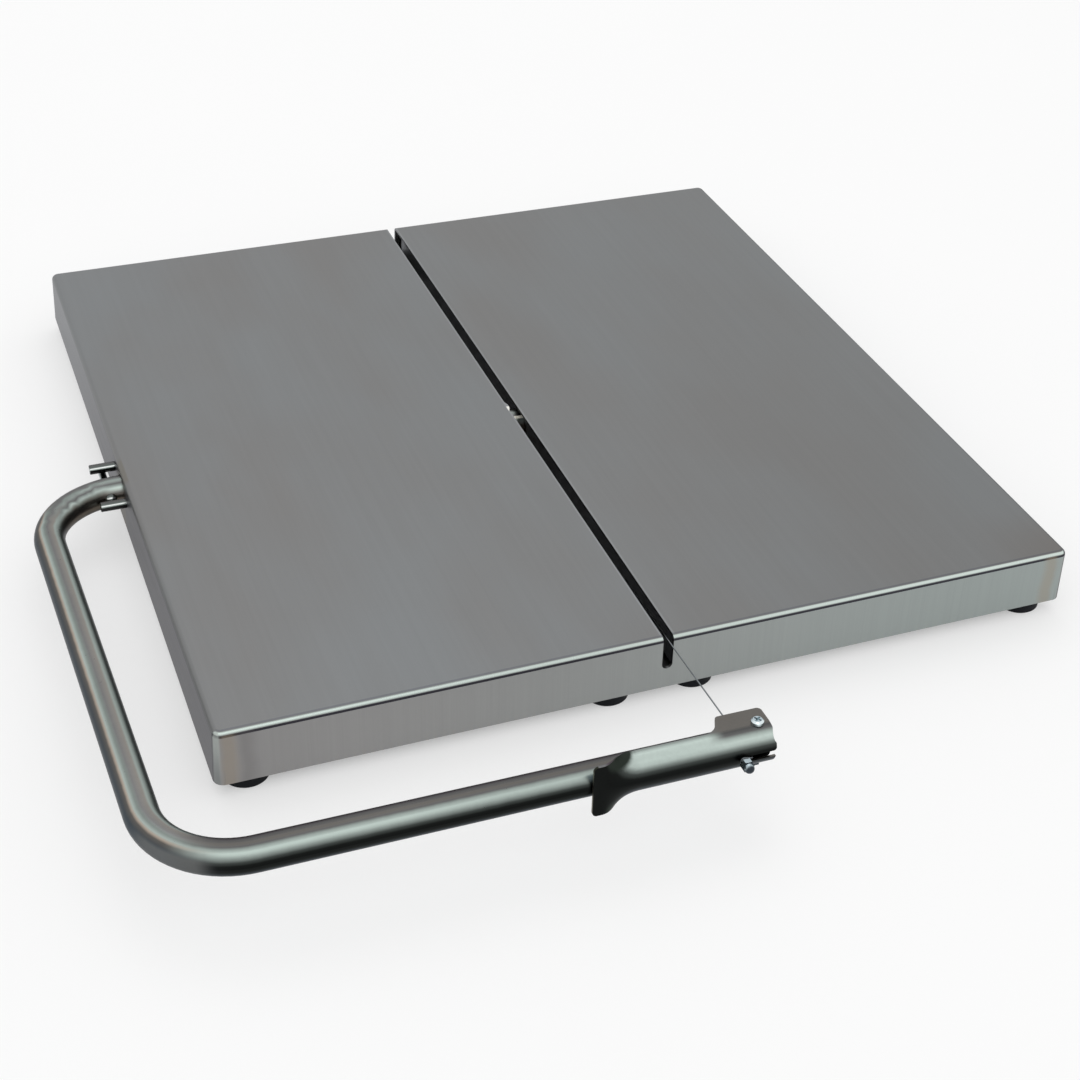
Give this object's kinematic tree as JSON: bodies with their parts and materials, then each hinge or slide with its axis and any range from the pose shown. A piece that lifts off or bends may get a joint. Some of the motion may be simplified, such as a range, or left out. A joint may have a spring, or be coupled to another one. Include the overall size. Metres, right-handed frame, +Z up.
{
  "type": "wire cheese cutter",
  "caption": "Cheese cutter: slotted folded steel table on rubber feet, with a hinged side bow that swings a taut wire down into the slot and a small lever that tightens the wire.",
  "frame": {"origin": "middle of the bounding box's footprint, on the floor under the feet, with the bow down", "axes": "+Z up; +X to the right along the table's front edge; +Y from the front edge to the back; the bow's hinge is on the left side and its bar lies in front of the table"},
  "size_m": [0.509, 0.563, 0.0546],
  "materials": {
    "sheet_steel": "satin, fine brushing",
    "rail_steel": "mill finish",
    "tube_steel": "satin, ground along the tube",
    "lever_steel": "dull pressed sheet",
    "rod_steel": "bright drawn",
    "fastener_steel": "bright",
    "screw_zinc": "blue zinc plating",
    "wire_steel": "bright drawn wire",
    "bearing_plastic": "matte",
    "plug_plastic": "matte",
    "foot_rubber": "matte"
  },
  "bodies": {
    "base": {"table_shell": "sheet_steel", "slot_rail_left": "rail_steel", "slot_rail_right": "rail_steel", "bearing_left": "bearing_plastic", "bearing_middle": "bearing_plastic", "bearing_right": "bearing_plastic", "bearing_studs": "fastener_steel", "bearing_washers": "fastener_steel", "bearing_nuts": "fastener_steel", "stop_rod_rear": "rod_steel", "stop_rod_front": "rod_steel", "stop_nuts": "fastener_steel", "foot_screws": "fastener_steel", "foot_washers": "fastener_steel", "foot_nuts": "fastener_steel", "foot_1": "foot_rubber", "foot_2": "foot_rubber", "foot_3": "foot_rubber", "foot_4": "foot_rubber", "foot_5": "foot_rubber", "foot_6": "foot_rubber", "foot_7": "foot_rubber", "foot_8": "foot_rubber"},
    "bow": {"bow_tube": "tube_steel", "cross_pin": "rod_steel", "thrust_pins": "rod_steel", "thrust_washers": "bearing_plastic", "hinge_plug": "plug_plastic", "cutting_wire": "wire_steel", "wire_ferrule": "fastener_steel"},
    "lever": {"tension_lever": "lever_steel", "lever_pivot_screw": "screw_zinc", "lever_pivot_washers": "bearing_plastic", "lever_pivot_nut": "screw_zinc", "wire_stud": "screw_zinc", "stud_cap_nut": "screw_zinc", "wire_loop": "wire_steel"}
  },
  "joints": [
    {"name": "bow_swing", "type": "hinge", "parent": "base", "child": "bow", "pos_m": [-0.20172, 0.04341, 0.0267], "axis": [-1, 0, 0], "range_deg": [0, 159.7]},
    {"name": "lever_swing", "type": "hinge", "parent": "bow", "child": "lever", "pos_m": [0.02967, -0.26263, 0.04006], "axis": [0, 0.0436, 0.999], "range_deg": [0, 100]}
  ]
}
